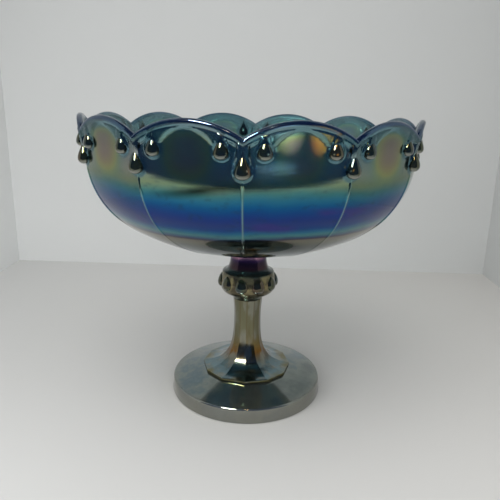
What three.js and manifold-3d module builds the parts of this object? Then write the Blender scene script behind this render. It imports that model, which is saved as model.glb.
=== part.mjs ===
// A footed fruit bowl of pressed carnival glass: a scalloped bowl with hanging drops, a knop with a neck,
// a twelve-sided stem and a round hollow foot. Millimetres, +Z up. The origin is the centre of the foot's
// resting ring, and one crease of the bowl and one corner of the stem point along -Y.
import * as THREE from "three";
import { mergeVertices } from "three/addons/utils/BufferGeometryUtils.js";
import Module from "manifold-3d";

const wasm = await Module();
wasm.setup();

// Driving dimensions of the whole.
const PANELS = 12; // scallops of the bowl, and facets of the stem
const JOINT_GAP = 0.3; // between two pieces that are fused face to face

// Foot: a round plate, hollow underneath.
const FOOT_RADIUS = 52.3;
const FOOT_EDGE_HEIGHT = 10.2;
const FOOT_EDGE_DRAFT = 0.7; // the edge leans in by this at its top
const FOOT_EDGE_ROUND = 0.9;
const FOOT_HEIGHT = 15.6; // of the flat seat under the stem
const REST_RING_WIDTH = 4.5;
const HOLLOW_HEIGHT = 11.4; // of the underside, at the axis
const HOLLOW_WALL = 4.2; // height and width of the hollow's slanted side

// Stem: twelve flat sides that sweep out to a stepped base. Radii are to a corner.
const STEM_HEIGHT = 50.7;
const STEM_BASE_RADIUS = 30.6;
const STEM_BASE_EDGE = 1.9; // height of the base's upright edge
const STEM_WAIST_RADIUS = 9.3;
const STEM_WAIST_LEVEL = 0.73; // of the stem's height
const STEM_TOP_RADIUS = 10.1;

// Knop: a round bulge with its own ring of small hanging drops, a ledge, and the neck above it.
const KNOP_RADIUS = 19.6;
const KNOP_GIRTH_RISE = 10.6; // from its foot to its widest girth
const KNOP_LEDGE_RISE = 9; // from the girth to the ledge
const KNOP_LEDGE_RADIUS = 17.6;
const KNOP_DROPS = 10;
const KNOP_DROP = { halfWidth: 3.6, halfDepth: 1.6, length: 10.4, hang: 10.3, standOff: 0.2 };
const KNOP_TURN = 24; // degrees from -Y to one of its drops
const NECK_RADIUS = 12;
const NECK_LENGTH = 15.5;

// Bowl: its section is one curve from the seat to the widest girth, with a nearly upright lip above.
const BOWL_SEAT_RADIUS = 14.5;
const BOWL_RADIUS = 103.6;
const BOWL_DEPTH = 65.3; // from the widest girth down to the seat
const BOTTOM_FLATNESS = 53.8; // reach of the curve's level start
const SIDE_UPRIGHTNESS = 45.2; // reach of the curve's upright end
const LIP_HEIGHT = 21; // from the widest girth up to a scallop's peak
const LIP_FLARE = 2.6;
const WALL_AT_RIM = 3.1;
const WALL_AT_BASE = 5;
const BORDER_HEIGHT = 4.2; // of the raised band along the rim
const BORDER_PROUD = 0.9;
const SCALLOP_RISE = 8.2; // from the valley between two scallops to a peak
const SCALLOP_ROOT = 28; // scallops fade out this far under a peak
const PANEL_FLATNESS = 0.3; // 0 is a round bowl, 1 a twelve-sided one
const VALLEY_DROP = { halfWidth: 4.5, halfDepth: 3, length: 20.4, hang: 28.2, standOff: 1.5 };
const SIDE_DROP = { halfWidth: 4.1, halfDepth: 2.7, length: 15.4, hang: 19.2, standOff: 1.3 };
const SIDE_DROP_ANGLE = 5.5; // degrees from the valley drop to the side drops on its left and right

// Fineness of the facets that stand for round surfaces.
const BOWL_SEGMENTS = PANELS * 8;
const ROUND_SEGMENTS = PANELS * 4;
const DROP_SEGMENTS = 8;
const DROP_RINGS = 5;

const PANEL_ANGLE = (2 * Math.PI) / PANELS;
const STEM_BASE_Z = FOOT_HEIGHT + JOINT_GAP;
const STEM_TOP_Z = STEM_BASE_Z + STEM_HEIGHT;
const KNOP_FOOT_Z = STEM_TOP_Z + JOINT_GAP;
const KNOP_GIRTH_Z = KNOP_FOOT_Z + KNOP_GIRTH_RISE;
const KNOP_LEDGE_Z = KNOP_GIRTH_Z + KNOP_LEDGE_RISE;
const NECK_TOP_Z = KNOP_LEDGE_Z + NECK_LENGTH;
const BOWL_SEAT_Z = NECK_TOP_Z + JOINT_GAP;
const GIRTH_Z = BOWL_SEAT_Z + BOWL_DEPTH;
const PEAK_Z = GIRTH_Z + LIP_HEIGHT;

const glass = (color, roughness, metalness) =>
  new THREE.MeshStandardMaterial({ color, roughness, metalness });
const BOWL_GLASS = glass(0x1d4a63, 0.08, 0.55);
const KNOP_GLASS = glass(0x5a5236, 0.14, 0.6);
const STEM_GLASS = glass(0x686a58, 0.14, 0.6);
const FOOT_GLASS = glass(0x4b5b5b, 0.12, 0.6);

// A closed geometry as a manifold-3d solid.
function solid(geometry) {
  const bare = geometry.clone();
  bare.deleteAttribute("normal");
  bare.deleteAttribute("uv");
  const merged = mergeVertices(bare, 1e-4);
  return new wasm.Manifold(
    new wasm.Mesh({
      numProp: 3,
      vertProperties: new Float32Array(merged.attributes.position.array),
      triVerts: new Uint32Array(merged.index.array),
    }),
  );
}

// A manifold-3d solid as a named mesh.
function meshOf(name, shape, material) {
  const { vertProperties, triVerts } = shape.getMesh();
  const geometry = new THREE.BufferGeometry();
  geometry.setAttribute("position", new THREE.BufferAttribute(vertProperties, 3));
  geometry.setIndex(new THREE.BufferAttribute(triVerts, 1));
  geometry.computeVertexNormals();
  const mesh = new THREE.Mesh(geometry, material);
  mesh.name = name;
  return mesh;
}

// Turns an outline of (radius, height) points about +Z, with a corner of its facets along -Y.
function turned(points, segments) {
  const geometry = new THREE.LatheGeometry(points, segments);
  geometry.rotateX(Math.PI / 2);
  return geometry;
}

const pair = (radius, height) => new THREE.Vector2(radius, height);

// A hanging drop: a ball below that narrows to a point above, partly sunk in the wall at (wallRadius, angle).
// Its lowest point is `hang` below fromZ, and its middle plane stands off the wall.
function hangingDrop({ halfWidth, halfDepth, length, hang, standOff }, wallRadius, fromZ, angle, lean = 0) {
  const SHARPNESS = 1.3; // of the pointed end
  const FULLEST = 0.72; // widest value of the outline's formula at that sharpness
  const outline = Array.from({ length: DROP_RINGS + 1 }, (_, ring) => {
    const turn = (Math.PI * ring) / DROP_RINGS;
    const width = Math.sin(turn) * Math.cos(turn / 2) ** SHARPNESS;
    return pair((width / FULLEST) * halfWidth, ((1 - Math.cos(turn)) * length) / 2);
  });
  outline[DROP_RINGS].x = 0;
  const drop = turned(outline, DROP_SEGMENTS);
  drop.scale(1, halfDepth / halfWidth, 1);
  drop.translate(0, 0, -length / 2);
  drop.rotateX(-lean);
  drop.translate(0, -wallRadius - standOff, fromZ - hang + length / 2);
  drop.rotateZ(angle);
  return solid(drop);
}

// The bowl's section from the seat to the girth, as (radius, height) points, drawn in by a wall's thickness.
function bowlSection(sideWall, bottomWall, steps) {
  const radius = BOWL_RADIUS - sideWall;
  const bottom = BOWL_SEAT_Z + bottomWall;
  const curve = new THREE.CubicBezierCurve(
    pair(0, bottom),
    pair(BOTTOM_FLATNESS, bottom),
    pair(radius, GIRTH_Z - SIDE_UPRIGHTNESS),
    pair(radius, GIRTH_Z),
  );
  return curve.getSpacedPoints(steps);
}

// How far the lip leans out at a height above the girth.
const lipFlare = (height) => LIP_FLARE * Math.max(0, (height - GIRTH_Z) / LIP_HEIGHT) ** 2;

// Height of the rim at an angle from a crease: each scallop is an arc of a circle.
function rimHeight(angle) {
  const halfWidth = (BOWL_RADIUS + LIP_FLARE) * Math.sin(PANEL_ANGLE / 2);
  const arcRadius = (halfWidth ** 2 + SCALLOP_RISE ** 2) / (2 * SCALLOP_RISE);
  const across = halfWidth * (1 - Math.abs(angle) / (PANEL_ANGLE / 2));
  return PEAK_Z - arcRadius + Math.sqrt(arcRadius ** 2 - across ** 2);
}

// How far a flat panel draws the round bowl in, at an angle from a crease.
function panelSqueeze(angle) {
  const flat = Math.cos(PANEL_ANGLE / 2) / Math.cos(PANEL_ANGLE / 2 - Math.abs(angle));
  return 1 - PANEL_FLATNESS * (1 - flat);
}

// The bowl before its scallops: wall, bordered lip and hollow, turned about the axis.
function plainBowlOutline() {
  const OUTER_STEPS = 11;
  const INNER_STEPS = 8;
  const BORDER_SLOPE = 0.6; // height of the slope on the border's lower edge
  const EDGE = 0.8; // rounding of the rim's two edges
  const innerRadius = BOWL_RADIUS - WALL_AT_RIM;
  const midLip = GIRTH_Z + LIP_HEIGHT / 2;
  const borderZ = PEAK_Z - BORDER_HEIGHT;
  const rimRadius = BOWL_RADIUS + LIP_FLARE + BORDER_PROUD;
  return [
    pair(0, BOWL_SEAT_Z),
    pair(BOWL_SEAT_RADIUS, BOWL_SEAT_Z),
    ...bowlSection(0, 0, OUTER_STEPS).filter((point) => point.x > BOWL_SEAT_RADIUS + 1),
    pair(BOWL_RADIUS + lipFlare(midLip), midLip),
    pair(BOWL_RADIUS + lipFlare(borderZ), borderZ),
    pair(BOWL_RADIUS + lipFlare(borderZ) + BORDER_PROUD, borderZ + BORDER_SLOPE),
    pair(rimRadius, PEAK_Z - EDGE),
    pair(rimRadius - EDGE, PEAK_Z),
    pair(innerRadius + LIP_FLARE + EDGE, PEAK_Z),
    pair(innerRadius + LIP_FLARE, PEAK_Z - EDGE),
    pair(innerRadius + lipFlare(midLip), midLip),
    ...bowlSection(WALL_AT_RIM, WALL_AT_BASE, INNER_STEPS).reverse(),
  ];
}

// Presses the plain bowl into its mould: lowers the rim between scallops and flattens the twelve panels.
function pressScallops(geometry) {
  const rootZ = PEAK_Z - SCALLOP_ROOT;
  const place = geometry.getAttribute("position");
  for (let i = 0; i < place.count; i += 1) {
    const [x, y, z] = [place.getX(i), place.getY(i), place.getZ(i)];
    const fromFront = Math.atan2(x, -y);
    const angle = fromFront - PANEL_ANGLE * Math.round(fromFront / PANEL_ANGLE);
    const squeeze = panelSqueeze(angle);
    const lift = z > rootZ ? (rimHeight(angle) - rootZ) / SCALLOP_ROOT : 1;
    place.setXYZ(i, x * squeeze, y * squeeze, rootZ + (z - rootZ) * lift);
  }
  return geometry;
}

// Bowl: the pressed shell with one drop at each valley and two on each scallop.
function bowl() {
  const sideAngle = THREE.MathUtils.degToRad(SIDE_DROP_ANGLE);
  const sideRadius = BOWL_RADIUS * panelSqueeze(sideAngle);
  let shape = solid(pressScallops(turned(plainBowlOutline(), BOWL_SEGMENTS)));
  for (let panel = 0; panel < PANELS; panel += 1) {
    const crease = panel * PANEL_ANGLE;
    shape = shape.add(hangingDrop(VALLEY_DROP, BOWL_RADIUS, PEAK_Z, crease));
    shape = shape.add(hangingDrop(SIDE_DROP, sideRadius, PEAK_Z, crease - sideAngle));
    shape = shape.add(hangingDrop(SIDE_DROP, sideRadius, PEAK_Z, crease + sideAngle));
  }
  return meshOf("bowl", shape, BOWL_GLASS);
}

// Foot: a plate that slopes down to an upright edge, over a domed hollow.
function foot() {
  const ringInner = FOOT_RADIUS - REST_RING_WIDTH;
  const edgeTop = FOOT_RADIUS - FOOT_EDGE_DRAFT;
  const seatRadius = STEM_BASE_RADIUS * Math.cos(PANEL_ANGLE / 2) - JOINT_GAP;
  const side = new THREE.Path();
  side.moveTo(0, HOLLOW_HEIGHT);
  side.quadraticCurveTo(ringInner * 0.6, HOLLOW_HEIGHT, ringInner - HOLLOW_WALL, HOLLOW_WALL);
  side.lineTo(ringInner, 0);
  side.lineTo(FOOT_RADIUS - FOOT_EDGE_ROUND, 0);
  side.lineTo(FOOT_RADIUS, FOOT_EDGE_ROUND);
  side.lineTo(edgeTop, FOOT_EDGE_HEIGHT - FOOT_EDGE_ROUND);
  side.lineTo(edgeTop - FOOT_EDGE_ROUND, FOOT_EDGE_HEIGHT);
  side.lineTo(seatRadius, FOOT_HEIGHT);
  side.lineTo(0, FOOT_HEIGHT);
  return meshOf("foot", solid(turned(side.getPoints(6), ROUND_SEGMENTS)), FOOT_GLASS);
}

// Stem: a twelve-sided shaft that sweeps out into a low dome with an upright edge.
function stem() {
  const EDGE = 0.5; // rounding of the base's upper edge
  const baseTop = STEM_BASE_Z + STEM_BASE_EDGE;
  const waistZ = STEM_BASE_Z + STEM_HEIGHT * STEM_WAIST_LEVEL;
  const side = new THREE.Path();
  side.moveTo(0, STEM_BASE_Z);
  side.lineTo(STEM_BASE_RADIUS, STEM_BASE_Z);
  side.lineTo(STEM_BASE_RADIUS, baseTop - EDGE);
  side.lineTo(STEM_BASE_RADIUS - EDGE, baseTop);
  side.bezierCurveTo(
    STEM_WAIST_RADIUS + 2, baseTop + 1.6, STEM_WAIST_RADIUS, baseTop + 14, STEM_WAIST_RADIUS, waistZ,
  );
  side.quadraticCurveTo(STEM_WAIST_RADIUS, STEM_TOP_Z - 4, STEM_TOP_RADIUS, STEM_TOP_Z);
  side.lineTo(0, STEM_TOP_Z);
  return meshOf("stem", solid(turned(side.getPoints(9), PANELS)), STEM_GLASS);
}

// Knop: a bulge with a ledge above it, under a neck that carries the bowl.
function knop() {
  const side = new THREE.Path();
  side.moveTo(0, KNOP_FOOT_Z);
  side.lineTo(STEM_TOP_RADIUS, KNOP_FOOT_Z);
  side.bezierCurveTo(
    STEM_TOP_RADIUS + 1, KNOP_FOOT_Z + 5, KNOP_RADIUS, KNOP_GIRTH_Z - 5, KNOP_RADIUS, KNOP_GIRTH_Z,
  );
  side.quadraticCurveTo(KNOP_RADIUS, KNOP_GIRTH_Z + 4, KNOP_LEDGE_RADIUS, KNOP_LEDGE_Z - 0.5);
  side.lineTo(KNOP_LEDGE_RADIUS - 0.7, KNOP_LEDGE_Z);
  side.quadraticCurveTo(NECK_RADIUS + 0.5, KNOP_LEDGE_Z + 2, NECK_RADIUS, NECK_TOP_Z - 3);
  side.lineTo(NECK_RADIUS, NECK_TOP_Z);
  side.lineTo(0, NECK_TOP_Z);
  let shape = solid(turned(side.getPoints(5), ROUND_SEGMENTS));
  const dropRadius = (KNOP_RADIUS + KNOP_LEDGE_RADIUS) / 2;
  const lean = Math.atan2(KNOP_RADIUS - KNOP_LEDGE_RADIUS, KNOP_LEDGE_Z - KNOP_GIRTH_Z);
  for (let n = 0; n < KNOP_DROPS; n += 1) {
    const angle = THREE.MathUtils.degToRad(KNOP_TURN + (n * 360) / KNOP_DROPS);
    shape = shape.add(hangingDrop(KNOP_DROP, dropRadius, KNOP_LEDGE_Z, angle, lean));
  }
  return meshOf("knop", shape, KNOP_GLASS);
}

const footedBowl = new THREE.Group();
footedBowl.name = "footed_glass_bowl";
footedBowl.add(foot(), stem(), knop(), bowl());

export default footedBowl;
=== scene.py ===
"""A footed fruit bowl of pressed carnival glass, at full finish.

The foot, stem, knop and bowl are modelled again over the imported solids: round faces, softened mould edges,
a beaded rim, raised icing along the scallops and glossy drops. Lengths are in metres.
"""

import math

import bpy
import numpy as np
from mathutils import Matrix, Vector


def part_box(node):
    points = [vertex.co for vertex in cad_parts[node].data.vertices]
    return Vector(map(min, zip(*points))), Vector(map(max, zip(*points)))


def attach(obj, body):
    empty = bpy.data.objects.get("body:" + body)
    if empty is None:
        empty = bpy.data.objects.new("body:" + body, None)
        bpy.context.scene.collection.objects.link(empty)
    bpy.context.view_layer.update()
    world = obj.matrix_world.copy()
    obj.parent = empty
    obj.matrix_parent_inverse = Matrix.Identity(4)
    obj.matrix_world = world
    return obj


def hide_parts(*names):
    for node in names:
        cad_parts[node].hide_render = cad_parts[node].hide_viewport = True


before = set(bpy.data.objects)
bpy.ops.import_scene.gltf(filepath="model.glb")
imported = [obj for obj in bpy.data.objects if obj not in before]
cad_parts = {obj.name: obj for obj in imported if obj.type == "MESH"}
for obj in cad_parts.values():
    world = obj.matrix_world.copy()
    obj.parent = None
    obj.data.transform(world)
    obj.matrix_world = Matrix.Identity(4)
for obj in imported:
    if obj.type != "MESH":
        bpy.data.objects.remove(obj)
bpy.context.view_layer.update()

MM = 0.001
TURN = 2 * math.pi
QUARTER = TURN / 4
PANELS = 12
PANEL_ANGLE = TURN / PANELS
HALF_PANEL = PANEL_ANGLE / 2

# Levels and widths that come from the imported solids.
FOOT_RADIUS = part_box("foot")[1].x
FOOT_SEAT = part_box("foot")[1].z
STEM_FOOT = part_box("stem")[0].z
STEM_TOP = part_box("stem")[1].z
STEM_BASE_RADIUS = -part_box("stem")[0].y
KNOP_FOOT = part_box("knop")[0].z
NECK_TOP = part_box("knop")[1].z
BOWL_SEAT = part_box("bowl")[0].z
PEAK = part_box("bowl")[1].z

# Bowl: its section.
SEAT_RADIUS = 14.5 * MM
BOWL_RADIUS = 103.6 * MM
LIP_HEIGHT = 21 * MM
GIRTH = PEAK - LIP_HEIGHT
BOTTOM_FLATNESS = 53.8 * MM
SIDE_UPRIGHTNESS = 45.2 * MM
LIP_FLARE = 2.6 * MM
WALL_AT_RIM = 3.1 * MM
WALL_AT_BASE = 5 * MM

# Bowl: its scallops, panels and the raised icing along the rim.
SCALLOP_RISE = 8.2 * MM
SCALLOP_ROOT = PEAK - 28 * MM
RIM_ZONE = 3.2 * MM
PANEL_FLATNESS = 0.3
BAND_HEIGHT = 0.85 * MM
BAND_DEPTH = 4.3 * MM
ARCH_DROP = 8.4 * MM
ARCH_FOOT = 13.4 * MM
ARCH_SHARPNESS = 2.3
GROOVE_DEPTH = 0.5 * MM
GROOVE_BELOW_RIM = 3.3 * MM
GROOVE_WIDTH = 0.55 * MM

# Bowl: the mould's ridge between two panels, and the pale line painted along it as a painted highlight. Near
# the axis they keep their width.
CREASE_HEIGHT = 0.45 * MM
CREASE_WIDTH = 0.5 * MM
MOULD_LINE_HIGHLIGHT_WIDTH = 0.34 * MM
CREASE_CORE = 45 * MM
CREASE_FADE = 124 * MM
CREASE_FULL = 131 * MM
CREASE_LEAST = 0.35
MOULD_LINE_HIGHLIGHT_FULL = 129 * MM

# Bowl: how fine its mesh is, up the section and across half a panel from the crease.
CURVE_POINTS = 400
LIP_POINTS = 60
RELIEF_LENGTH = 30 * MM
RELIEF_ROWS = 46
PLAIN_ROWS = 34
INSIDE_ROWS = 30
RIM_STEPS = 9
STEPS_AT_CREASE = [0.22, 0.23, 0.25, 0.3, 0.4, 0.5, 0.6]
STEPS_UNDER_DROPS = [0.7] * 7 + [0.8] * 9
STEPS_ON_PANEL = [1.0, 1.2, 1.4, 1.6, 1.8, 1.8, 1.9]

# Drops: half width, half depth, length, how far the tip hangs under a peak, how far it stands off the wall.
VALLEY_DROP = dict(
    half_width=4.0 * MM, half_depth=3.5 * MM, length=13.6 * MM, hang=27.2 * MM, stand_off=1.0 * MM
)
SIDE_DROP = dict(
    half_width=3.7 * MM, half_depth=3.2 * MM, length=12.2 * MM, hang=18.3 * MM, stand_off=0.9 * MM
)
SIDE_DROP_ANGLE = math.radians(5.5)
DROP_SHARPNESS = 2.2
DROP_SEGMENTS = 28
DROP_RINGS = 22
LEAST_RING = 0.02
HALO = 1.25 * MM
HALO_HEIGHT = 0.5 * MM
TAIL_HEIGHT = 1.7 * MM

# Knop.
KNOP_RADIUS = 18.9 * MM
KNOP_GIRTH = KNOP_FOOT + 10.6 * MM
KNOP_COLLAR = 10.3 * MM
LEDGE = KNOP_GIRTH + 9 * MM
LEDGE_RADIUS = 17.6 * MM
NECK_RADIUS = 12 * MM
KNOP_DROPS = 10
KNOP_DROP_TURN = math.radians(24)
KNOP_DROP = dict(
    half_width=4.3 * MM, half_depth=2.5 * MM, length=10.4 * MM, hang=11.8 * MM, stand_off=-0.2 * MM
)
KNOP_DROP_SHARPNESS = 0.5

# Stem.
WAIST_RADIUS = 9.3 * MM
WAIST = STEM_FOOT + (STEM_TOP - STEM_FOOT) * 0.73
STEM_BASE_TOP = STEM_FOOT + 1.9 * MM
CORNER_BEVEL = 0.35 * MM

# Foot.
FOOT_EDGE_HEIGHT = 10.2 * MM
FOOT_EDGE_TOP = FOOT_RADIUS - 0.7 * MM
FOOT_RING_INNER = FOOT_RADIUS - 4.5 * MM
FOOT_HOLLOW = 11.4 * MM
STEM_SEAT_RADIUS = STEM_BASE_RADIUS * math.cos(HALF_PANEL) - 0.3 * MM

# Stage: where the table and the walls end, and the clear hole in the table under the foot.
TABLE_REACH = 1.6
FRONT_EDGE = -0.27
FADE_END = -0.41
BACK_WALL = 0.285
LEFT_WALL = -0.30
RIGHT_WALL = 0.28
SIDE_WALL_FRONT = -0.16
WALL_TOP = 0.7
TABLE_HOLE = FOOT_RADIUS - 4 * MM

# Camera.
CAMERA_PLACE = Vector((11.549, -343.484, 194.267)) * MM
CAMERA_TURN = (74.6776, -1.1696, 2.0965)
LENS = 37.846
SENSOR = 36


def select_none():
    for other in bpy.context.selected_objects:
        other.select_set(False)


def select_only(piece):
    """Leaves one piece selected and active."""
    select_none()
    piece.select_set(True)
    bpy.context.view_layer.objects.active = piece


def named(name):
    """The piece that was just added, with its name."""
    piece = bpy.context.active_object
    piece.name = name
    piece.data.name = name
    return piece


def points_of(piece):
    """The piece's vertices as rows of x, y, z."""
    flat = np.zeros(len(piece.data.vertices) * 3)
    piece.data.vertices.foreach_get("co", flat)
    return flat.reshape(-1, 3)


def put_points(piece, rows):
    """Moves the piece's vertices to rows of x, y, z."""
    piece.data.vertices.foreach_set("co", np.asarray(rows, float).ravel())
    piece.data.update()


def paint_amount(piece, name, values):
    """Stores one number per point for the finish to read."""
    layer = piece.data.attributes.new(name, "FLOAT", "POINT")
    layer.data.foreach_set("value", np.asarray(values, float))


def grid_piece(name, columns, rows):
    """A flat grid, with the column and row number of each of its points."""
    select_none()
    bpy.ops.mesh.primitive_grid_add(x_subdivisions=columns - 1, y_subdivisions=rows - 1, size=2)
    piece = named(name)
    flat = points_of(piece)
    column = np.rint((flat[:, 0] + 1) / 2 * (columns - 1)).astype(int)
    row = np.rint((flat[:, 1] + 1) / 2 * (rows - 1)).astype(int)
    return piece, column, row


def join_all(pieces, name):
    """Joins pieces into the first one."""
    select_only(pieces[0])
    for piece in pieces[1:]:
        piece.select_set(True)
    bpy.ops.object.join()
    return named(name)


def close_up(piece, gap=0.004 * MM):
    """Merges doubles, then turns every face outwards."""
    select_only(piece)
    bpy.ops.object.mode_set(mode="EDIT")
    bpy.ops.mesh.select_all(action="SELECT")
    bpy.ops.mesh.remove_doubles(threshold=gap)
    bpy.ops.mesh.normals_make_consistent(inside=False)
    bpy.ops.object.mode_set(mode="OBJECT")


def smooth(piece, angle=180):
    """Smooth shading, with edges sharper than the angle left crisp."""
    select_only(piece)
    if angle >= 180:
        bpy.ops.object.shade_smooth()
    else:
        bpy.ops.object.shade_smooth_by_angle(angle=math.radians(angle))


def copy_turned(piece, count, start=0.0):
    """Copies of the piece, spaced evenly round the axis, each with a mesh of its own."""
    ring = []
    for n in range(count):
        copy = piece.copy()
        copy.data = piece.data.copy()
        copy.data.transform(Matrix.Rotation(start + n * TURN / count, 4, "Z"))
        bpy.context.scene.collection.objects.link(copy)
        ring.append(copy)
    bpy.data.objects.remove(piece)
    return ring


def step_between(low, high, value):
    """0 at low and before it, 1 at high and past it, smooth between."""
    part = np.clip((value - low) / (high - low), 0, 1)
    return part * part * (3 - 2 * part)


def bezier(points, count):
    """Points along a cubic curve, in (radius, height)."""
    t = np.linspace(0, 1, count)[:, None]
    a, b, c, d = (np.array(point, float) for point in points)
    return a * (1 - t) ** 3 + b * 3 * (1 - t) ** 2 * t + c * 3 * (1 - t) * t**2 + d * t**3


def curve(count, *points):
    """The same curve as a list of pairs, for an outline."""
    return [tuple(point) for point in bezier(points, count)]


# --- Bowl -------------------------------------------------------------------------------------------------

def wall_curve(side_wall, bottom_wall):
    """The bowl's section from the bottom to its girth, drawn in by the thickness of the glass."""
    radius = BOWL_RADIUS - side_wall
    bottom = BOWL_SEAT + bottom_wall
    ends = [(0, bottom), (BOTTOM_FLATNESS, bottom), (radius, GIRTH - SIDE_UPRIGHTNESS), (radius, GIRTH)]
    return bezier(ends, CURVE_POINTS)


def lip_flare(height):
    """How far the wall flares out above its girth."""
    return LIP_FLARE * np.clip((height - GIRTH) / LIP_HEIGHT, 0, 1) ** 2


def outline_length(outline):
    return float(np.hypot(*np.diff(outline, axis=0).T).sum())


def resample(outline, stations):
    """Points of an outline at given lengths along it."""
    steps = np.hypot(*np.diff(outline, axis=0).T)
    length = np.concatenate([[0], np.cumsum(steps)])
    radius = np.interp(stations, length, outline[:, 0])
    height = np.interp(stations, length, outline[:, 1])
    return np.stack([radius, height], 1)


def outside_of_section():
    """The outside from the seat to the rim, with closer rows where the relief is."""
    lip_low = np.linspace(GIRTH, PEAK - WALL_AT_RIM / 2, LIP_POINTS)[1:]
    wall = wall_curve(0, 0)
    wall = wall[wall[:, 0] > SEAT_RADIUS]
    lip = np.stack([BOWL_RADIUS + lip_flare(lip_low), lip_low], 1)
    outside = np.concatenate([[(SEAT_RADIUS, BOWL_SEAT)], wall, lip])
    whole = outline_length(outside)
    plain = whole - RELIEF_LENGTH
    plain_stations = np.linspace(0, plain, PLAIN_ROWS, endpoint=False)
    relief_stations = np.linspace(plain, whole, RELIEF_ROWS)
    return resample(outside, np.concatenate([plain_stations, relief_stations]))


def inside_of_section(lip_radius):
    """The inside from the rim down to the axis."""
    lip_low = np.linspace(GIRTH, PEAK - WALL_AT_RIM / 2, LIP_POINTS)[1:]
    height = lip_low[::-1]
    lip = np.stack([lip_radius - LIP_FLARE + lip_flare(height), height], 1)
    inside = np.concatenate([lip[1:], wall_curve(WALL_AT_RIM, WALL_AT_BASE)[::-1]])
    inside = resample(inside, np.linspace(0, outline_length(inside), INSIDE_ROWS))
    inside[-1] = (0, BOWL_SEAT + WALL_AT_BASE)
    return inside


def bowl_profile():
    """The bowl's section before its scallops: outside from the axis up, over the rim and down the inside.

    Two row numbers come with it: where the outside ends, and where the rim ends.
    """
    outside = outside_of_section()
    bead = WALL_AT_RIM / 2
    centre = np.array([outside[-1, 0] - bead, PEAK - bead])
    turns = np.linspace(0, math.pi, RIM_STEPS)[1:]
    roll = centre + bead * np.stack([np.cos(turns), np.sin(turns)], 1)
    axis = np.array([[0, BOWL_SEAT], [NECK_RADIUS * 0.8, BOWL_SEAT]])
    section = np.concatenate([axis, outside, roll, inside_of_section(roll[-1, 0])])
    outer_rows = len(axis) + len(outside)
    return section, outer_rows, outer_rows + len(roll)


def rim_height(angle):
    """Height of the rim at an angle from a crease: each scallop is an arc of a circle."""
    half_width = (BOWL_RADIUS + LIP_FLARE) * math.sin(HALF_PANEL)
    arc_radius = (half_width**2 + SCALLOP_RISE**2) / (2 * SCALLOP_RISE)
    across = half_width * (1 - np.abs(angle) / HALF_PANEL)
    return PEAK - arc_radius + np.sqrt(arc_radius**2 - across**2)


def scalloped_height(height, angle):
    """Where a height of the plain bowl ends up once the rim is lowered between the scallops."""
    rim = rim_height(angle)
    zone = PEAK - RIM_ZONE
    lift = (rim - RIM_ZONE - SCALLOP_ROOT) / (zone - SCALLOP_ROOT)
    squeezed = SCALLOP_ROOT + (height - SCALLOP_ROOT) * lift
    lowered = height - (PEAK - rim)
    return np.where(height < SCALLOP_ROOT, height, np.where(height < zone, squeezed, lowered))


def panel_squeeze(angle):
    """How much nearer to the axis a panel is at an angle from its crease, being flatter than round."""
    flat = math.cos(HALF_PANEL) / np.cos(HALF_PANEL - np.abs(angle))
    return 1 - PANEL_FLATNESS * (1 - flat)


def from_drop(across, height, drop, middle):
    """How far a point of the wall is from the ball of a drop; the halo ends at 1."""
    ball = PEAK - drop["hang"] + drop["half_width"]
    return np.hypot(across - middle, height - ball) / (drop["half_width"] + HALO)


def drop_seat(across, height, drop, middle, top_half_width, top_height):
    """Relief round one drop: a low halo under its ball and a waisted tail that runs up into the icing."""
    reach = drop["half_width"] + HALO
    ball = PEAK - drop["hang"] + drop["half_width"]
    halo = HALO_HEIGHT * step_between(1.0, 0.86, from_drop(across, height, drop, middle))
    up = np.clip((height - ball) / (top_height - ball), 0, 1)
    half = top_half_width + (reach - top_half_width) * (1 - up) ** DROP_SHARPNESS
    beside = np.abs(across - middle) / half
    middle_up = 4 * up * (1 - up)
    level = HALO_HEIGHT + (BAND_HEIGHT - HALO_HEIGHT) * up + (TAIL_HEIGHT - BAND_HEIGHT) * middle_up
    tail = level * step_between(1.0, 0.72, beside)
    return np.where(height > ball, np.maximum(tail, halo), halo)


def arched_band(across, height, rim):
    """The raised band that follows each scallop; it thins out between the valley drop and the side drops."""
    half_panel = BOWL_RADIUS * HALF_PANEL
    reach = np.clip((half_panel - across) / (half_panel - ARCH_FOOT), 0, 3)
    arch = PEAK - BAND_DEPTH - ARCH_DROP * reach**ARCH_SHARPNESS
    band = BAND_HEIGHT * step_between(0, 0.6 * MM, height - arch)
    drop_edge = BOWL_RADIUS * SIDE_DROP_ANGLE + SIDE_DROP["half_width"] * 0.3
    between = step_between(ARCH_FOOT, drop_edge, across)
    high = step_between(6.5 * MM, 3.4 * MM, rim - height)
    return band * np.maximum(1 - between, high)


def icing(angle, height):
    """How far the glass stands proud of the panel, at an angle from a crease and a height."""
    across = BOWL_RADIUS * np.abs(angle)
    rim = rim_height(angle)
    side_middle = BOWL_RADIUS * SIDE_DROP_ANGLE
    valley = drop_seat(across, height, VALLEY_DROP, 0, 3.1 * MM, PEAK - SCALLOP_RISE)
    side = drop_seat(across, height, SIDE_DROP, side_middle, 2.6 * MM, PEAK - 5.4 * MM)
    relief = np.maximum(np.maximum(valley, side), arched_band(across, height, rim))
    rim_band = BAND_HEIGHT * step_between(3.9 * MM, 3.2 * MM, rim - height)
    groove = GROOVE_DEPTH * np.exp(-(((rim - height - GROOVE_BELOW_RIM) / GROOVE_WIDTH) ** 2))
    return np.maximum(relief, rim_band) - groove


def from_crease(angle, radius, width):
    """1 on the crease between two panels, fading to 0 within a few widths."""
    across = np.maximum(radius, CREASE_CORE) * np.abs(angle)
    return np.exp(-((across / width) ** 2))


def crease(angle, radius, height):
    """The thin ridge that the mould leaves between two panels, below the valley drop."""
    below = step_between(SCALLOP_ROOT, SCALLOP_ROOT - 2 * MM, height)
    below = below * (CREASE_LEAST + (1 - CREASE_LEAST) * step_between(CREASE_FADE, CREASE_FULL, height))
    return CREASE_HEIGHT * below * from_crease(angle, radius, CREASE_WIDTH)


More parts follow.
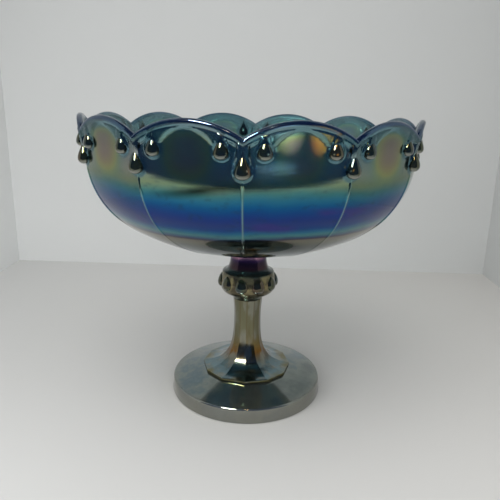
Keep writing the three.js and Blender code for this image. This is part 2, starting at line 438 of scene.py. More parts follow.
def crease_to_mid_panel():
    """Angles from the crease to the middle of a panel, closest at the crease and under the drops."""
    steps = STEPS_AT_CREASE + STEPS_UNDER_DROPS + STEPS_ON_PANEL
    across = np.cumsum([0] + steps) * MM
    return np.append(across / BOWL_RADIUS, HALF_PANEL)


def bowl_sector():
    """One twelfth of the bowl, from mid panel to mid panel, with a crease in its middle."""
    section, outer_rows, rim_rows = bowl_profile()
    half = crease_to_mid_panel()
    angles = np.concatenate([-half[:0:-1], half])
    piece, column, row = grid_piece("bowl_glass_body", len(angles), len(section))
    angle = angles[column]
    plain_radius = section[row, 0]
    height = scalloped_height(section[row, 1], angle)
    tangent = np.gradient(section, axis=0)
    tangent /= np.hypot(tangent[:, 0], tangent[:, 1])[:, None]
    outward = np.stack([tangent[:, 1], -tangent[:, 0]], 1)[row]
    is_outside = row < outer_rows
    on_wall = is_outside & (plain_radius > SEAT_RADIUS)
    iced = icing(angle, height) * (height > SCALLOP_ROOT - 6 * MM)
    relief = np.where(on_wall, iced + crease(angle, plain_radius, height), 0)
    over_rim = np.clip((row - outer_rows) / (rim_rows - outer_rows), 0, 1)
    relief = np.where(is_outside, relief, np.where(row < rim_rows, BAND_HEIGHT * (1 - over_rim), 0))
    push = np.where(is_outside[:, None], outward, np.array([1.0, 0.0]))
    radius = plain_radius * panel_squeeze(angle) + relief * push[:, 0]
    height = height + relief * push[:, 1]
    put_points(piece, np.stack([radius * np.sin(angle), -radius * np.cos(angle), height], 1))
    paint_sector(piece, angle, plain_radius, height, row, outer_rows, rim_rows)
    return piece


def paint_sector(piece, angle, plain_radius, height, row, outer_rows, rim_rows):
    """Marks the rim's bead, the painted highlight on the mould line, the halos, the rings in the panels and
    where the lustre is.
    """
    is_outside = row < outer_rows
    on_wall = is_outside & (plain_radius > SEAT_RADIUS)
    over_rim = np.clip((row - outer_rows) / (rim_rows - outer_rows), 0, 1)
    under_rim = rim_height(angle) - height
    bead = step_between(2.6 * MM, 1.8 * MM, under_rim)
    paint_amount(piece, "bead", np.where(is_outside, bead, row < rim_rows))
    # Where the painted highlight runs along the crease's ridge, below the drops.
    below_drop = (height < SCALLOP_ROOT) * step_between(CREASE_FADE, MOULD_LINE_HIGHLIGHT_FULL, height)
    mould_line = from_crease(angle, plain_radius, MOULD_LINE_HIGHLIGHT_WIDTH) * below_drop
    paint_amount(piece, "mould_line", np.where(on_wall, mould_line, 0))
    across = BOWL_RADIUS * np.abs(angle)
    from_valley = from_drop(across, height, VALLEY_DROP, 0)
    from_side = from_drop(across, height, SIDE_DROP, BOWL_RADIUS * SIDE_DROP_ANGLE)
    halo = step_between(1.25, 1.0, np.minimum(from_valley, from_side))
    paint_amount(piece, "halo", np.where(on_wall, halo, 0))
    in_panel = step_between(0.28, 0.95, np.abs(angle) / HALF_PANEL)
    in_panel = in_panel * step_between(PEAK - 36 * MM, PEAK - 18 * MM, height)
    in_panel = in_panel * step_between(3 * MM, 11 * MM, under_rim)
    paint_amount(piece, "panel", np.where(is_outside, in_panel, 0))
    lustre = np.where(row < rim_rows, 1 - over_rim * 0.8, 0.0)
    paint_amount(piece, "lustre", np.where(is_outside, 1.0, lustre))


def hanging_drop(name, drop, wall_radius, from_height, lean=0.0, sharpness=DROP_SHARPNESS):
    """A hanging drop: a ball below that narrows to a point above, partly sunk in the wall on the -Y side."""
    select_none()
    bpy.ops.mesh.primitive_uv_sphere_add(segments=DROP_SEGMENTS, ring_count=DROP_RINGS, radius=1)
    piece = named(name)
    points = points_of(piece)
    turn = np.arccos(np.clip(-points[:, 2], -1, 1))
    width = np.sin(turn) * np.cos(turn / 2) ** sharpness
    sample = np.linspace(0, math.pi, 300)
    width /= (np.sin(sample) * np.cos(sample / 2) ** sharpness).max()
    at_pole = np.sin(turn) <= 0.01
    width = np.where(at_pole, 0, np.maximum(width, LEAST_RING))
    ring = np.hypot(points[:, 0], points[:, 1])
    ring[ring < 1e-6] = 1
    side = points[:, 0] / ring * width * drop["half_width"]
    depth = points[:, 1] / ring * width * drop["half_depth"]
    up = (1 - np.cos(turn)) / 2 * drop["length"] - drop["length"] / 2
    put_points(piece, np.stack([side, depth, up], 1))
    # Marks the lower end of the drop, which the finish paints pale as painted reflection of the table.
    paint_amount(piece, "tip", step_between(0.20, 0.09, up / drop["length"] + 0.5))
    piece.data.transform(Matrix.Rotation(-lean, 4, "X"))
    out = -wall_radius - drop["stand_off"]
    middle = from_height - drop["hang"] + drop["length"] / 2
    piece.data.transform(Matrix.Translation((0, out, middle)))
    return piece


def make_bowl():
    """The shell of the bowl, and its thirty-six drops."""
    shell = join_all(copy_turned(bowl_sector(), PANELS), "bowl_glass_body")
    close_up(shell)
    smooth(shell, 40)
    side_radius = BOWL_RADIUS * float(panel_squeeze(SIDE_DROP_ANGLE))
    drops = copy_turned(hanging_drop("drop", VALLEY_DROP, BOWL_RADIUS, PEAK), PANELS)
    for side in (-1, 1):
        drop = hanging_drop("drop", SIDE_DROP, side_radius, PEAK)
        drops += copy_turned(drop, PANELS, side * SIDE_DROP_ANGLE)
    drops = join_all(drops, "bowl_drops")
    close_up(drops)
    smooth(drops)
    return shell, drops


# --- Knop, stem and foot ----------------------------------------------------------------------------------

def drawn_wire(name, outline):
    """An outline of (radius, height) points on the -Y side, extruded from one point to the next."""
    select_none()
    bpy.ops.mesh.primitive_plane_add(size=MM)
    piece = named(name)
    bpy.ops.object.mode_set(mode="EDIT")
    bpy.ops.mesh.select_mode(type="VERT")
    bpy.ops.mesh.select_all(action="SELECT")
    bpy.ops.mesh.merge(type="CENTER")
    radius, height = outline[0]
    bpy.ops.transform.translate(value=(0, -radius, height))
    for next_radius, next_height in outline[1:]:
        step = (0, radius - next_radius, next_height - height)
        bpy.ops.mesh.extrude_region_move(TRANSFORM_OT_translate={"value": step})
        radius, height = next_radius, next_height
    bpy.ops.object.mode_set(mode="OBJECT")
    return piece


def spun(name, outline, segments):
    """Spins an outline of (radius, height) points round the axis, from pole to pole."""
    piece = drawn_wire(name, outline)
    bpy.ops.object.mode_set(mode="EDIT")
    bpy.ops.mesh.select_all(action="SELECT")
    bpy.ops.mesh.spin(steps=segments, angle=TURN, center=(0, 0, 0), axis=(0, 0, 1))
    bpy.ops.object.mode_set(mode="OBJECT")
    close_up(piece)
    return piece


def make_knop():
    """The knop with its ledge and neck, and its ring of small drops."""
    outline = [
        (0, KNOP_FOOT),
        (KNOP_COLLAR - 0.4 * MM, KNOP_FOOT),
        (KNOP_COLLAR, KNOP_FOOT + 0.4 * MM),
        (KNOP_COLLAR + 0.5 * MM, KNOP_FOOT + 1.6 * MM),
    ]
    outline += curve(
        12,
        (KNOP_COLLAR + 0.9 * MM, KNOP_FOOT + 2.6 * MM),
        (KNOP_COLLAR + 5.2 * MM, KNOP_FOOT + 3.6 * MM),
        (KNOP_RADIUS, KNOP_GIRTH - 5.2 * MM),
        (KNOP_RADIUS, KNOP_GIRTH),
    )
    outline += curve(
        8,
        (KNOP_RADIUS, KNOP_GIRTH),
        (KNOP_RADIUS, KNOP_GIRTH + 2.4 * MM),
        (LEDGE_RADIUS + 0.5 * MM, LEDGE - 2.4 * MM),
        (LEDGE_RADIUS, LEDGE - 0.8 * MM),
    )[1:]
    outline += [
        (LEDGE_RADIUS - 0.3 * MM, LEDGE - 0.2 * MM),
        (LEDGE_RADIUS - 1.0 * MM, LEDGE + 0.05 * MM),
    ]
    outline += curve(
        12,
        (LEDGE_RADIUS - 2.2 * MM, LEDGE + 0.35 * MM),
        (NECK_RADIUS + 1.2 * MM, LEDGE + 1.6 * MM),
        (NECK_RADIUS, LEDGE + 6 * MM),
        (NECK_RADIUS, NECK_TOP - 2.5 * MM),
    )
    outline += [
        (NECK_RADIUS + 0.5 * MM, NECK_TOP - 0.9 * MM),
        (NECK_RADIUS + 1.1 * MM, NECK_TOP),
        (0, NECK_TOP),
    ]
    knop = spun("knop_glass_body", outline, 96)
    smooth(knop, 50)
    middle = (KNOP_RADIUS + LEDGE_RADIUS) / 2
    lean = math.atan2(KNOP_RADIUS - LEDGE_RADIUS, LEDGE - KNOP_GIRTH)
    drop = hanging_drop("knop_drop", KNOP_DROP, middle, LEDGE, lean, KNOP_DROP_SHARPNESS)
    drops = join_all(copy_turned(drop, KNOP_DROPS, KNOP_DROP_TURN), "knop_drops")
    close_up(drops)
    smooth(drops)
    return knop, drops


def bevel_corners(stem):
    """Softens the upright corners between the stem's facets."""
    select_only(stem)
    bpy.ops.object.mode_set(mode="EDIT")
    bpy.ops.mesh.select_mode(type="EDGE")
    bpy.ops.mesh.select_all(action="DESELECT")
    bpy.ops.object.mode_set(mode="OBJECT")
    for edge in stem.data.edges:
        low, high = (stem.data.vertices[i].co for i in edge.vertices)
        both_out = min(low.xy.length, high.xy.length) > WAIST_RADIUS / 2
        edge.select = both_out and abs(low.xy.normalized().dot(high.xy.normalized())) > 0.999
    bpy.ops.object.mode_set(mode="EDIT")
    bpy.ops.mesh.bevel(offset=CORNER_BEVEL, segments=2, affect="EDGES", clamp_overlap=True)
    bpy.ops.object.mode_set(mode="OBJECT")
    close_up(stem, 0.001 * MM)


def make_stem():
    """The twelve-sided stem that sweeps out into its stepped base, with softened corners."""
    outline = [
        (0, STEM_FOOT),
        (STEM_BASE_RADIUS, STEM_FOOT),
        (STEM_BASE_RADIUS, STEM_BASE_TOP - 0.4 * MM),
        (STEM_BASE_RADIUS - 0.15 * MM, STEM_BASE_TOP - 0.12 * MM),
    ]
    outline += curve(
        34,
        (STEM_BASE_RADIUS - 0.5 * MM, STEM_BASE_TOP),
        (WAIST_RADIUS + 2 * MM, STEM_BASE_TOP + 1.6 * MM),
        (WAIST_RADIUS, STEM_BASE_TOP + 14 * MM),
        (WAIST_RADIUS, WAIST),
    )
    outline += curve(
        8,
        (WAIST_RADIUS, WAIST),
        (WAIST_RADIUS, STEM_TOP - 6 * MM),
        (10 * MM, STEM_TOP - 3 * MM),
        (10.1 * MM, STEM_TOP),
    )[1:]
    outline += [(0, STEM_TOP)]
    stem = spun("stem_glass_body", outline, PANELS)
    bevel_corners(stem)
    smooth(stem, 35)
    weights = stem.modifiers.new("flat_facets", "WEIGHTED_NORMAL")
    weights.weight = 80
    weights.keep_sharp = True
    bpy.ops.object.modifier_apply(modifier=weights.name)
    return stem


def make_foot():
    """The round foot: a plate that slopes to an upright edge, over a domed hollow."""
    outline = curve(
        14,
        (0, FOOT_HOLLOW),
        (FOOT_RING_INNER * 0.4, FOOT_HOLLOW),
        (FOOT_RING_INNER * 0.75, FOOT_HOLLOW * 0.9),
        (FOOT_RING_INNER - 4.2 * MM, 4.2 * MM),
    )
    outline += [
        (FOOT_RING_INNER - 2 * MM, 2 * MM),
        (FOOT_RING_INNER - 0.4 * MM, 0.4 * MM),
        (FOOT_RING_INNER + 0.2 * MM, 0),
        (FOOT_RADIUS - 1.1 * MM, 0),
        (FOOT_RADIUS - 0.6 * MM, 0.12 * MM),
        (FOOT_RADIUS - 0.2 * MM, 0.5 * MM),
        (FOOT_RADIUS, 1.1 * MM),
    ]
    outline += curve(
        7,
        (FOOT_EDGE_TOP, FOOT_EDGE_HEIGHT - 1.2 * MM),
        (FOOT_EDGE_TOP - 0.1 * MM, FOOT_EDGE_HEIGHT - 0.5 * MM),
        (FOOT_EDGE_TOP - 0.6 * MM, FOOT_EDGE_HEIGHT - 0.05 * MM),
        (FOOT_EDGE_TOP - 1.4 * MM, FOOT_EDGE_HEIGHT + 0.1 * MM),
    )
    slope_start = (FOOT_EDGE_TOP - 2.2 * MM, FOOT_EDGE_HEIGHT + 0.3 * MM)
    slope = np.linspace(slope_start, (STEM_SEAT_RADIUS, FOOT_SEAT), 8)
    outline += [tuple(point) for point in slope]
    outline += [(0, FOOT_SEAT)]
    foot = spun("foot_glass_body", outline, 144)
    smooth(foot, 50)
    return foot


# --- Finishes ---------------------------------------------------------------------------------------------

class Amount:
    """A value on its way through a finish: Python arithmetic on it adds the maths nodes."""

    def __init__(self, finish, socket):
        self.finish = finish
        self.socket = socket

    def maths(self, operation, *others):
        return self.finish.add("ShaderNodeMath", {"operation": operation}, self, *others)

    def __add__(self, other):
        return self.maths("ADD", other)

    __radd__ = __add__

    def __sub__(self, other):
        return self.maths("SUBTRACT", other)

    def __rsub__(self, other):
        return (self * -1) + other

    def __mul__(self, other):
        return self.maths("MULTIPLY", other)

    __rmul__ = __mul__

    def held(self, low, high):
        return self.maths("MAXIMUM", low).maths("MINIMUM", high)

    def above(self, level, gain, most=1.0):
        """0 up to a level, and past it a rise at the gain, up to the most."""
        return ((self - level) * gain).held(0, most)

    def below(self, level, gain, most=1.0):
        """0 from a level up, and under it a rise at the gain, up to the most."""
        return ((level - self) * gain).held(0, most)


class Finish:
    """The node tree of one procedural material, or of the world."""

    def __init__(self, owner):
        self.owner = owner
        owner.use_nodes = True
        self.tree = owner.node_tree
        self.tree.nodes.clear()

    def add(self, kind, settings=None, *values, output=0, **named_values):
        """Adds a node, sets it up, fills its sockets by order, where None skips one, or by name."""
        node = self.tree.nodes.new(kind)
        for key, value in (settings or {}).items():
            if key == "stops":
                self.set_stops(node.color_ramp, value)
            else:
                setattr(node, key, value)
        for place, value in enumerate(values):
            self.fill(node.inputs[place], value)
        for key, value in named_values.items():
            self.fill(node.inputs[key.replace("_", " ")], value)
        return Amount(self, node.outputs[output]) if node.outputs else node

    def fill(self, socket, value):
        if isinstance(value, Amount):
            self.tree.links.new(value.socket, socket)
        elif value is not None:
            socket.default_value = value

    def set_stops(self, ramp, stops):
        for _ in range(len(stops) - 2):
            ramp.elements.new(0.5)
        for element, (place, colour) in zip(ramp.elements, stops):
            element.position = place
            element.color = (*colour, 1)

    def place(self):
        """A point's place on the object."""
        return self.add("ShaderNodeTexCoord", None, output="Object")

    def split(self, vector):
        """The x, y and z of a place."""
        node = self.add("ShaderNodeSeparateXYZ", None, vector).socket.node
        return [Amount(self, socket) for socket in node.outputs]

    def height(self):
        return self.split(self.place())[2]

    def stretched(self, scale):
        """The place, scaled along x, y and z."""
        return self.add("ShaderNodeMapping", None, self.place(), Scale=scale)

    def noise(self, vector, scale, detail=3.0, roughness=0.5):
        values = dict(Vector=vector, Scale=scale, Detail=detail, Roughness=roughness)
        return self.add("ShaderNodeTexNoise", None, **values)

    def attribute(self, name):
        """An amount that was stored on the points of the mesh."""
        return self.add("ShaderNodeAttribute", {"attribute_name": name}, output="Fac")

    def ramp(self, amount, stops):
        return self.add("ShaderNodeValToRGB", {"stops": stops}, amount)

    def bands(self, height, levels):
        """Colours listed by height in millimetres."""
        low = levels[0][0]
        high = levels[-1][0]
        stops = [((level - low) / (high - low), colour) for level, colour in levels]
        low *= MM
        high *= MM
        return self.ramp((height - low) * (1 / (high - low)), stops)

    def blend(self, amount, first, second):
        """Mixes two colours. The node's colour sockets come after five that serve numbers and vectors."""
        colours = [colour if isinstance(colour, Amount) else (*colour, 1) for colour in (first, second)]
        number_sockets = [None] * 5
        return self.add("ShaderNodeMix", {"data_type": "RGBA"}, amount, *number_sockets, *colours, output=2)

    def bump(self, height, strength, distance):
        return self.add("ShaderNodeBump", None, Strength=strength, Distance=distance, Height=height)

    def glossy(self, colour, roughness, metallic, **fixed):
        fixed.update(Base_Color=colour, Roughness=roughness, Metallic=metallic)
        return self.add("ShaderNodeBsdfPrincipled", None, **fixed)

    def clear(self):
        return self.add("ShaderNodeBsdfTransparent", None)

    def mixed(self, amount, first, second):
        """Mixes two shaders."""
        return self.add("ShaderNodeMixShader", None, amount, first, second)

    def done(self, shader, output="ShaderNodeOutputMaterial"):
        self.add(output, None, shader)
        return self.owner


def new_finish(name):
    return Finish(bpy.data.materials.new(name))


# The colours of the bowl's lustre by height in millimetres, from the seat up.
BOWL_BANDS = [
    (102, (0.05, 0.12, 0.16)),
    (111, (0.08, 0.17, 0.20)),
    (117, (0.10, 0.13, 0.13)),
    (121, (0.10, 0.12, 0.11)),
    (125, (0.20, 0.20, 0.14)),
    (127.2, (0.22, 0.20, 0.15)),
    (128.4, (0.03, 0.02, 0.06)),
    (129.6, (0.028, 0.088, 0.19)),
    (131.4, (0.065, 0.24, 0.25)),
    (133.4, (0.016, 0.16, 0.28)),
    (136, (0.007, 0.060, 0.235)),
    (139, (0.026, 0.051, 0.205)),
    (142, (0.014, 0.040, 0.215)),
    (145.5, (0.0055, 0.060, 0.235)),
    (148.5, (0.0034, 0.095, 0.25)),
    (151.5, (0.018, 0.15, 0.25)),
    (154.5, (0.045, 0.18, 0.18)),
    (158.5, (0.17, 0.23, 0.12)),
    (164, (0.22, 0.27, 0.22)),
    (172, (0.19, 0.26, 0.26)),
    (179, (0.06, 0.15, 0.17)),
    (190, (0.045, 0.12, 0.16)),
]

# The rings of colour in the top of each panel, from its edge in.
PANEL_RINGS = [
    (0.0, (0.08, 0.24, 0.24)),
    (0.25, (0.18, 0.31, 0.15)),
    (0.5, (0.325, 0.34, 0.095)),
    (0.75, (0.325, 0.255, 0.105)),
    (1.0, (0.295, 0.19, 0.15)),
]

KNOP_BANDS = [
    (64, (0.10, 0.13, 0.12)),
    (70, (0.13, 0.14, 0.10)),
    (73, (0.17, 0.15, 0.09)),
    (80, (0.22, 0.18, 0.08)),
    (85, (0.20, 0.18, 0.09)),
    (86.6, (0.05, 0.07, 0.06)),
    (88, (0.03, 0.05, 0.05)),
    (90, (0.04, 0.015, 0.02)),
    (94, (0.02, 0.008, 0.025)),
    (95.8, (0.04, 0.015, 0.07)),
    (98, (0.34, 0.18, 0.24)),
    (100.5, (0.42, 0.25, 0.25)),
    (103, (0.12, 0.08, 0.16)),
]

STEM_BANDS = [
    (15, (0.14, 0.13, 0.06)),
    (17.5, (0.18, 0.16, 0.07)),
    (18.2, (0.15, 0.23, 0.26)),
    (21.5, (0.13, 0.20, 0.22)),
    (24, (0.13, 0.13, 0.10)),
    (29, (0.19, 0.085, 0.010)),
    (35, (0.18, 0.135, 0.05)),
    (42, (0.175, 0.168, 0.10)),
    (66, (0.165, 0.160, 0.095)),
]


def lustre_bands(finish):
    """The bowl's lustre: bands of colour that wander a little with the thickness of the film."""
    place = finish.place()
    z = finish.height()
    wander = finish.noise(place, 14.0, 2.0)
    patches = finish.noise(place, 46.0, 3.0)
    shifted = z + (wander - 0.5) * (9 * MM) + (patches - 0.5) * (2.5 * MM)
    colour = finish.bands(shifted, BOWL_BANDS)
    in_blue = z.above(132 * MM, 300) * z.below(148 * MM, 300)
    blotches = finish.noise(finish.stretched((1, 1, 2.2)), 34.0, 3.0)
    colour = finish.blend(blotches.above(0.52, 6, 0.6) * in_blue, colour, (0.055, 0.030, 0.21))
    specks = finish.noise(finish.stretched((1, 1, 1.6)), 210.0, 4.0, 0.65)
    colour = finish.blend(specks.above(0.56, 4, 0.35), colour, (0.02, 0.05, 0.09))
    mauve = finish.noise(place, 22.0, 2.0).above(0.52, 6) * z.above(152 * MM, 90)
    colour = finish.blend(mauve * 0.35, colour, (0.40, 0.28, 0.26))
    panel = finish.attribute("panel")
    ring = finish.ramp((panel + (patches - 0.5) * 0.25).held(0, 1), PANEL_RINGS)
    return finish.blend((panel * 1.6).held(0, 0.75), colour, ring)


def bowl_glass():
    """Blue-green glass under a metallic lustre, which is thinner towards the rim and missing inside."""
    finish = new_finish("carnival_glass_bowl")
    colour = finish.blend(finish.attribute("bead") * 0.75, lustre_bands(finish), (0.075, 0.13, 0.30))
    colour = finish.blend(finish.attribute("halo") * 0.75, colour, (0.05, 0.15, 0.20))
    # Painted highlight: a pale line along the ridge of each crease.
    colour = finish.blend(finish.attribute("mould_line") * 0.65, colour, (0.26, 0.46, 0.36))
    ripple = finish.noise(finish.stretched((1, 1, 0.6)), 38.0, 2.0)
    bump = finish.bump(ripple, 0.12, 0.4 * MM)
    spray = (finish.noise(finish.stretched((1, 1, 0.12)), 260.0, 3.0) - 0.5) * 0.08
    seen_through_glass = finish.add("ShaderNodeNewGeometry", None, output="Backfacing")
    roughness = (spray + 0.09).held(0.03, 0.2) + seen_through_glass * 0.4
    lustre = finish.glossy(colour, roughness, 1.0, Normal=bump, Coat_Weight=0.12, Coat_Roughness=0.03)
    fixed = dict(Transmission_Weight=1.0, IOR=1.5, Specular_IOR_Level=0.2)
    glass = finish.glossy((0.25, 0.50, 0.56, 1), 0.18, 0.0, **fixed)
    z = finish.height()
    heavier = z.below(178 * MM, 70) * 0.24
    heaviest = z.below(160 * MM, 90) * 0.1
    amount = finish.attribute("lustre") * (heavier + heaviest + 0.56) + 0.05
    return finish.done(finish.mixed(amount, glass, lustre))


def drop_glass():
    """Dark, very glossy drops; their pale lower ends are painted reflection of the pale table."""
    finish = new_finish("carnival_glass_drops")
    mottle = finish.noise(finish.place(), 90.0, 2.0)
    colour = finish.ramp(mottle, [
        (0.3, (0.008, 0.03, 0.04)),
        (0.5, (0.05, 0.06, 0.025)),
        (0.7, (0.08, 0.05, 0.025)),
    ])
    # Painted reflection: the pale table seen in the lower end of each drop.
    colour = finish.blend(finish.attribute("tip") * 0.7, colour, (0.30, 0.31, 0.28))
    roughness = mottle * 0.04 + 0.03
    return finish.done(finish.glossy(colour, roughness, 0.9, Coat_Weight=0.8, Coat_Roughness=0.02))


def knop_glass():
    """Olive lustre with stains on the knop, and purple on its neck."""
    finish = new_finish("carnival_glass_knop")
    place = finish.place()
    z = finish.height()
    wander = (finish.noise(place, 60.0, 2.0) - 0.5) * (3 * MM)
    colour = finish.bands(z + wander, KNOP_BANDS)
    stain = finish.noise(place, 150.0, 4.0, 0.6).above(0.48, 8, 0.85) * z.below(87 * MM, 900)
    colour = finish.blend(stain, colour, (0.05, 0.04, 0.025))
    ripple = finish.noise(place, 150.0, 3.0)
    bump = finish.bump(ripple, 0.35, 0.4 * MM)
    roughness = ripple * 0.12 + 0.12
    coat = dict(Coat_Weight=0.2, Coat_Roughness=0.03)
    return finish.done(finish.glossy(colour, roughness, 0.75, Normal=bump, **coat))


def stem_glass():
    """Brown-grey lustre with upright grain and tarnish; its golden-brown patches and browner corners are
    painted reflection.
    """
    finish = new_finish("carnival_glass_stem")
    x, y, z = finish.split(finish.place())
    wander = (finish.noise(finish.place(), 55.0, 2.0) - 0.5) * (4 * MM)
    colour = finish.bands(z + wander, STEM_BANDS)
    tarnish = finish.noise(finish.stretched((1, 1, 0.35)), 150.0, 4.0)
    colour = finish.blend(tarnish.above(0.5, 7, 0.7), colour, (0.25, 0.25, 0.21))
    on_shaft = z.above(30 * MM, 80)
    # Painted reflection: golden-brown patches on the shaft, for the colour that its sides reflect.
    amber_reflection = finish.noise(finish.stretched((1, 1, 0.2)), 90.0, 2.0)
    colour = finish.blend(amber_reflection.above(0.52, 7, 0.8) * on_shaft, colour, (0.13, 0.10, 0.035))
    # Painted reflection: the corners between the facets are painted browner.
    round_turn = y.maths("ARCTAN2", x) * (PANELS / TURN) + 0.25 * PANELS
    from_facet_middle = (round_turn.maths("FRACT") - 0.5).maths("ABSOLUTE")
    corner_reflection = from_facet_middle.above(0.40, 12) * on_shaft
    colour = finish.blend(corner_reflection * 0.6, colour, (0.13, 0.09, 0.03))
    grain = finish.noise(finish.stretched((1, 1, 0.1)), 420.0, 3.0)
    colour = finish.blend((grain - 0.45).held(0, 0.4), colour, (0.12, 0.11, 0.08))
    bump = finish.bump(grain, 0.15, 0.3 * MM)
    roughness = grain * 0.14 + 0.08
    coat = dict(Coat_Weight=0.2, Coat_Roughness=0.04)
    return finish.done(finish.glossy(colour, roughness, 1.0, Normal=bump, **coat))


def foot_glass():
    """Cloudy steel grey lustre; the upright edge is painted paler and warmer as painted reflection."""
    finish = new_finish("carnival_glass_foot")
    place = finish.place()
    cloud = finish.noise(place, 38.0, 4.0, 0.6)
    colour = finish.ramp(cloud, [
        (0.3, (0.20, 0.25, 0.27)),
        (0.43, (0.13, 0.18, 0.20)),
        (0.52, (0.22, 0.25, 0.23)),
        (0.68, (0.14, 0.165, 0.16)),
    ])
    # Painted reflection: the upright edge is paler and warmer than the top.
    edge = finish.height().below(11 * MM, 500)
    colour = finish.blend(edge * 0.75, colour, (0.28, 0.275, 0.24))
    bump = finish.bump(cloud, 0.08, 0.3 * MM)
    roughness = finish.noise(place, 160.0, 3.0) * 0.10 + 0.05
    coat = dict(Coat_Weight=0.2, Coat_Roughness=0.03)
    return finish.done(finish.glossy(colour, roughness, 0.9, Normal=bump, **coat))


# --- Stage ------------------------------------------------------------------------------------------------

def studio_paint_and_shade(name, left, right, hole=0.0):
    """Pale paint with painted light: lighter to the left, darker up the walls. It is clear from its back,
    and inside a round hole in the middle.
    """
    finish = new_finish(name)
    place = finish.place()
    x, y, z = finish.split(place)
    # Painted light: lighter to the left, darker to the right.
    tone = finish.blend(x.above(-0.3, 1 / 0.6), left, right)
    # Painted shade: darker up the walls.
    tone = finish.blend(z.above(0.06, 1.5, 0.5), tone, (0.34, 0.345, 0.34))
    cloud = finish.noise(place, 2.5, 2.0)
    tone = finish.blend(cloud * 0.06, tone, (0.4, 0.4, 0.4))
    paint = finish.add("ShaderNodeBsdfDiffuse", None, tone)
    back = finish.add("ShaderNodeNewGeometry", None, output="Backfacing")
    in_hole = (x * x + y * y).below(hole * hole, 1e6)
    return finish.done(finish.mixed((back + in_hole).held(0, 1), paint, finish.clear()))


def fading_paint():
    """The table's front part as the glass reflects it, fading into the dim room."""
    finish = new_finish("fading_table_paint")
    place = finish.place()
    y = finish.split(place)[1]
    waves = finish.noise(place, 3.0, 1.0)
    fade = ((y - FADE_END) * (1.4 / (FRONT_EDGE - FADE_END)) + (waves - 0.5) * 0.6).held(0, 1)
    paint = finish.add("ShaderNodeBsdfDiffuse", None, (0.6, 0.6, 0.59, 1))
    return finish.done(finish.mixed(fade * fade, finish.clear(), paint))


def only_reflected(piece):
    """Hides a piece from all but the rays that the glass reflects."""
    for ray in ("visible_camera", "visible_diffuse", "visible_transmission", "visible_shadow"):
        setattr(piece, ray, False)


def sheet(name, middle, width, depth, material, upright=0.0, turn=0.0):
    """A flat rectangle that faces up or, once it is upright, -Y before it turns about the vertical."""
    select_none()
    bpy.ops.mesh.primitive_plane_add(size=1, location=middle, rotation=(upright, 0, turn))
    piece = named(name)
    piece.scale = (width, depth, 1)
    bpy.ops.object.transform_apply(location=True, rotation=True, scale=True)
    piece.data.materials.append(material)
    return piece


def floor_sheet(name, front, back, material):
    return sheet(name, (0, (front + back) / 2, 0), 2 * TABLE_REACH, back - front, material)


def wall_sheet(name, x, y, width, turn, material):
    return sheet(name, (x, y, WALL_TOP / 2), width, WALL_TOP, material, QUARTER, turn)


def make_stage():
    """A table and three walls. The table's front is seen by the camera and, fading out, by the glass."""
    # The table is painted lighter on the left as painted light.
    table = studio_paint_and_shade("table_paint_and_shade", (0.63, 0.63, 0.62), (0.54, 0.53, 0.51), TABLE_HOLE)
    floor_sheet("table", FRONT_EDGE, TABLE_REACH, table)
    apron = floor_sheet("table_front", -TABLE_REACH, FRONT_EDGE, table)
    apron.visible_glossy = False
    only_reflected(floor_sheet("table_front_reflected", FADE_END, FRONT_EDGE, fading_paint()))
    # The walls are painted lighter on the left and darker upwards as painted light and shade.
    wall = studio_paint_and_shade("wall_paint_and_shade", (0.83, 0.84, 0.835), (0.59, 0.60, 0.595))
    side_middle = (SIDE_WALL_FRONT + BACK_WALL) / 2
    side_width = BACK_WALL - SIDE_WALL_FRONT
    wall_sheet("back_wall", (LEFT_WALL + RIGHT_WALL) / 2, BACK_WALL, RIGHT_WALL - LEFT_WALL, 0, wall)
    wall_sheet("left_wall", LEFT_WALL, side_middle, side_width, QUARTER, wall)
    wall_sheet("right_wall", RIGHT_WALL, side_middle, side_width, -QUARTER, wall)


def make_world():
    """Soft pale light all round, but a dim room where the glass reflects it."""
    world = bpy.data.worlds.new("studio")
    bpy.context.scene.world = world
    room = Finish(world)
    reflected = room.add("ShaderNodeLightPath", None, output="Is Glossy Ray")
    pale = room.add("ShaderNodeBackground", None, (0.98, 0.99, 1.0, 1), 1.38)
    dim = room.add("ShaderNodeBackground", None, (0.33, 0.60, 1.2, 1), 0.15)
    room.done(room.mixed(reflected, pale, dim), "ShaderNodeOutputWorld")


def lamp(name, azimuth, elevation, distance, size, power, colour, glossy=True, diffuse=True):
    """A round soft lamp aimed at the bowl. Azimuth 0 is in front, along -Y, and positive to the right."""
    light = bpy.data.lights.new(name, "AREA")
    light.shape = "DISK"
    light.size = size
    light.energy = power
    light.color = colour
    holder = bpy.data.objects.new(name, light)
    around = math.radians(azimuth)
    up = math.radians(elevation)
    away = Vector((math.sin(around) * math.cos(up), -math.cos(around) * math.cos(up), math.sin(up)))
    holder.location = Vector((0, 0, 0.1)) + away * distance
    holder.rotation_euler = away.to_track_quat("Z", "Y").to_euler()
    holder.visible_glossy = glossy
    holder.visible_diffuse = diffuse
    holder.visible_transmission = glossy
    bpy.context.scene.collection.objects.link(holder)


def glow(name, place, facing, radius, colour, strength, squash=1.0, turn=0.0):
    """A soft patch of light, or of dark at no strength, that only the glass sees."""
    select_none()
    bpy.ops.mesh.primitive_circle_add(vertices=32, radius=radius, fill_type="NGON")
    piece = named(name)
    piece.location = place
    aim = (Vector(facing) - Vector(place)).to_track_quat("Z", "Y").to_matrix()
    piece.rotation_euler = (aim @ Matrix.Rotation(math.radians(turn), 3, "Z")).to_euler()
    piece.scale = (1, squash, 1)
    finish = new_finish(name)
    from_middle = finish.add("ShaderNodeVectorMath", {"operation": "LENGTH"}, finish.place(), output="Value")
    fade = (1 - from_middle * (1 / radius)).held(0, 1)
    light = finish.add("ShaderNodeEmission", None, (*colour, 1), strength)
    piece.data.materials.append(finish.done(finish.mixed(fade, finish.clear(), light)))
    only_reflected(piece)


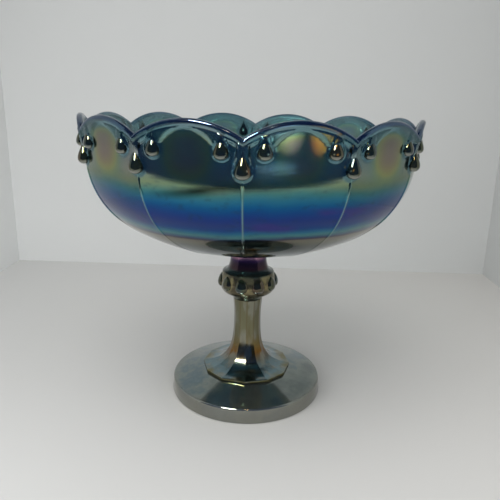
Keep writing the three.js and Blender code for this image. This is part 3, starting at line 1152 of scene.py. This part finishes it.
def make_lights():
    """Two small glints and a dark patch for the front panels, two soft lamps and two more for highlights."""
    window = (0.0306, -0.1218, 0.1745)
    bulb = (0.0515, -0.1148, 0.1735)
    dark = (-0.165, -0.285, 0.002)
    glow("window_patch", window, (0.0211, -0.1011, 0.1800), 0.0115, (0.85, 1.0, 0.95), 3.2, 0.6)
    glow("lamp_patch", bulb, (0.0355, -0.0970, 0.1800), 0.0085, (1.0, 0.5, 0.16), 3.4, 0.75)
    glow("dark_patch", dark, (dark[0], dark[1], 1.0), 0.17, (0, 0, 0), 0, 0.36, -58)
    lamp("soft_key", -22, 62, 1.6, 1.2, 6, (1.0, 0.98, 0.95), glossy=False)
    lamp("low_fill", -58, 24, 1.5, 1.2, 5, (1.0, 1.0, 0.99), glossy=False)
    lamp("window_glint", -28, 46, 1.5, 0.46, 32, (1.0, 1.0, 0.82), diffuse=False)
    lamp("warm_glint", 4, 47, 1.5, 0.13, 1.6, (1.0, 0.62, 0.28), diffuse=False)


def make_camera():
    camera = bpy.data.cameras.new("camera")
    camera.sensor_width = SENSOR
    camera.lens = LENS
    camera.clip_start = 0.01
    camera.clip_end = 20
    holder = bpy.data.objects.new("camera", camera)
    holder.location = CAMERA_PLACE
    holder.rotation_euler = tuple(math.radians(angle) for angle in CAMERA_TURN)
    bpy.context.scene.collection.objects.link(holder)
    bpy.context.scene.camera = holder


def dress(piece, material, node):
    """Gives a piece its glass, hangs it from the root body and hides the imported solid that it stands for.
    """
    piece.data.materials.clear()
    piece.data.materials.append(material)
    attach(piece, "root")
    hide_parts(node)


bowl_body, bowl_drops = make_bowl()
knop_body, knop_drops = make_knop()
drop_finish = drop_glass()
dress(bowl_body, bowl_glass(), "bowl")
dress(bowl_drops, drop_finish, "bowl")
dress(knop_body, knop_glass(), "knop")
dress(knop_drops, drop_finish, "knop")
dress(make_stem(), stem_glass(), "stem")
dress(make_foot(), foot_glass(), "foot")

make_stage()
make_world()
make_lights()
make_camera()
bpy.context.scene.view_settings.view_transform = "Standard"
